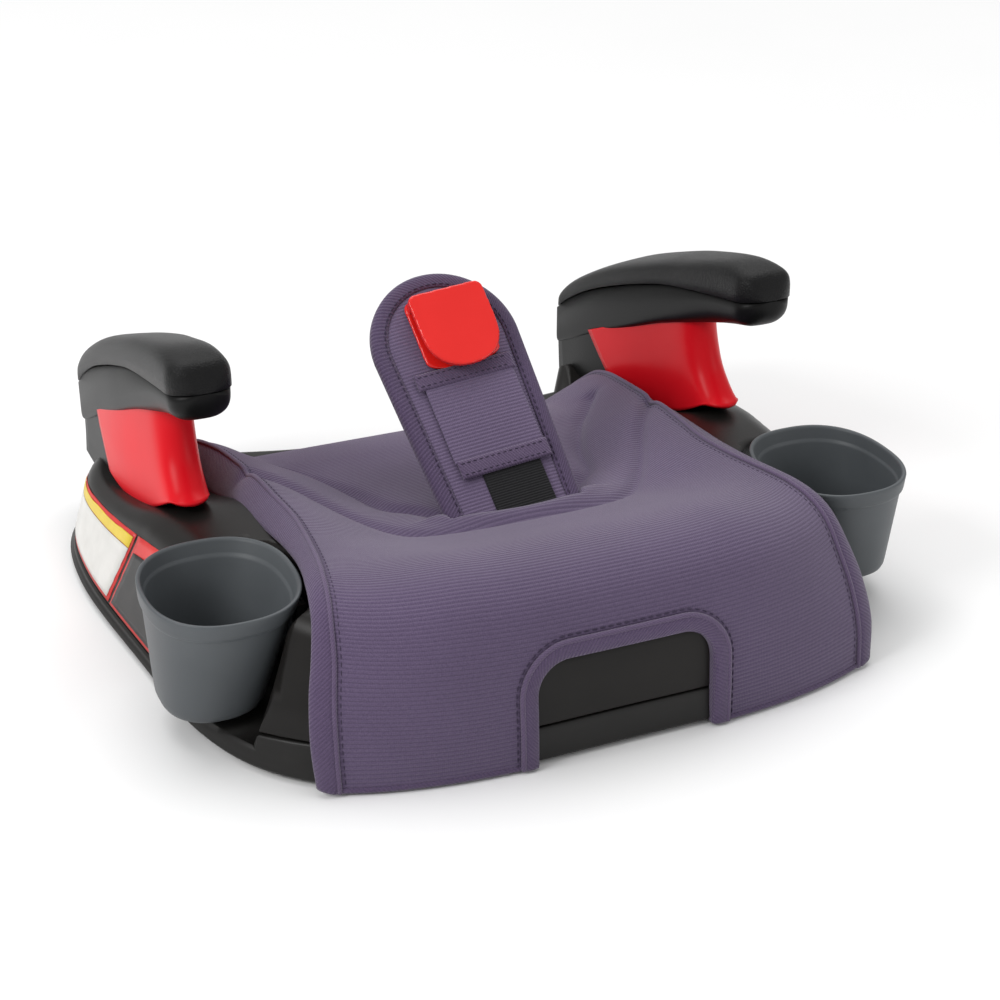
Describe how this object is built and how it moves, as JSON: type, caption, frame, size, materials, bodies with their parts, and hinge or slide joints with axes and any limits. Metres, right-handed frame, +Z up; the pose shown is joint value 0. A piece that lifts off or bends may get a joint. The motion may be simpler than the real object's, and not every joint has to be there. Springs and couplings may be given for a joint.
{
  "type": "booster seat",
  "caption": "Backless child booster seat with padded cover, curved armrests with belt guides, lift-off cup holders and a folding crotch strap with a belt clip.",
  "frame": {"origin": "on the floor, at the centre of the footprint", "axes": "+Z up, -Y towards the front of the seat, +X to the viewer's right when facing the front"},
  "size_m": [0.4728, 0.422, 0.1905],
  "materials": {
    "shell_plastic": "satin, fine moulded grain",
    "tray_plastic": "satin, fine moulded grain",
    "arm_plastic": "matte",
    "pad_skin": "soft leather-grain skin",
    "guide_red": "satin red",
    "cup_plastic": "satin grey",
    "cover_fabric": "ribbed heather knit",
    "binding_tape": "twill tape",
    "foam": "open-cell foam",
    "webbing": "woven webbing",
    "clip_red": "glossy red",
    "stiffener": "sheet plastic",
    "steel": "zinc plated",
    "foot_rubber": "matte"
  },
  "bodies": {
    "seat": {"base_tray": "tray_plastic", "seat_shell": "shell_plastic", "rubber_feet": "foot_rubber", "shell_screws": "steel", "seat_foam": "foam", "seat_cover": "cover_fabric", "cutout_binding": "binding_tape", "armrest_screws": "steel", "strap_anchor": "steel", "anchor_pin": "steel", "anchor_webbing": "webbing", "armrest_post_left": "shell_plastic", "belt_guide_left": "guide_red", "armrest_underside_left": "arm_plastic", "armrest_pad_left": "pad_skin", "cup_bracket_left": "shell_plastic", "armrest_post_right": "shell_plastic", "belt_guide_right": "guide_red", "armrest_underside_right": "arm_plastic", "armrest_pad_right": "pad_skin", "cup_bracket_right": "shell_plastic"},
    "strap": {"strap_pad": "cover_fabric", "strap_binding": "binding_tape", "strap_stiffener": "stiffener", "strap_webbing": "webbing", "strap_sleeve": "cover_fabric", "sleeve_band_lower": "binding_tape", "sleeve_band_upper": "binding_tape", "belt_clip": "clip_red"},
    "cup_left": {"cup_holder_left": "cup_plastic"},
    "cup_right": {"cup_holder_right": "cup_plastic"}
  },
  "joints": [
    {"name": "strap_fold", "type": "hinge", "parent": "seat", "child": "strap", "pos_m": [0, -0.053, 0.077], "axis": [1, 0, 0], "range_deg": [-40, 100]},
    {"name": "cup_left_lift", "type": "slide", "parent": "seat", "child": "cup_left", "axis": [0, 0, 1], "range_m": [0, 0.12]},
    {"name": "cup_right_lift", "type": "slide", "parent": "seat", "child": "cup_right", "axis": [0, 0, 1], "range_m": [0, 0.12]}
  ]
}
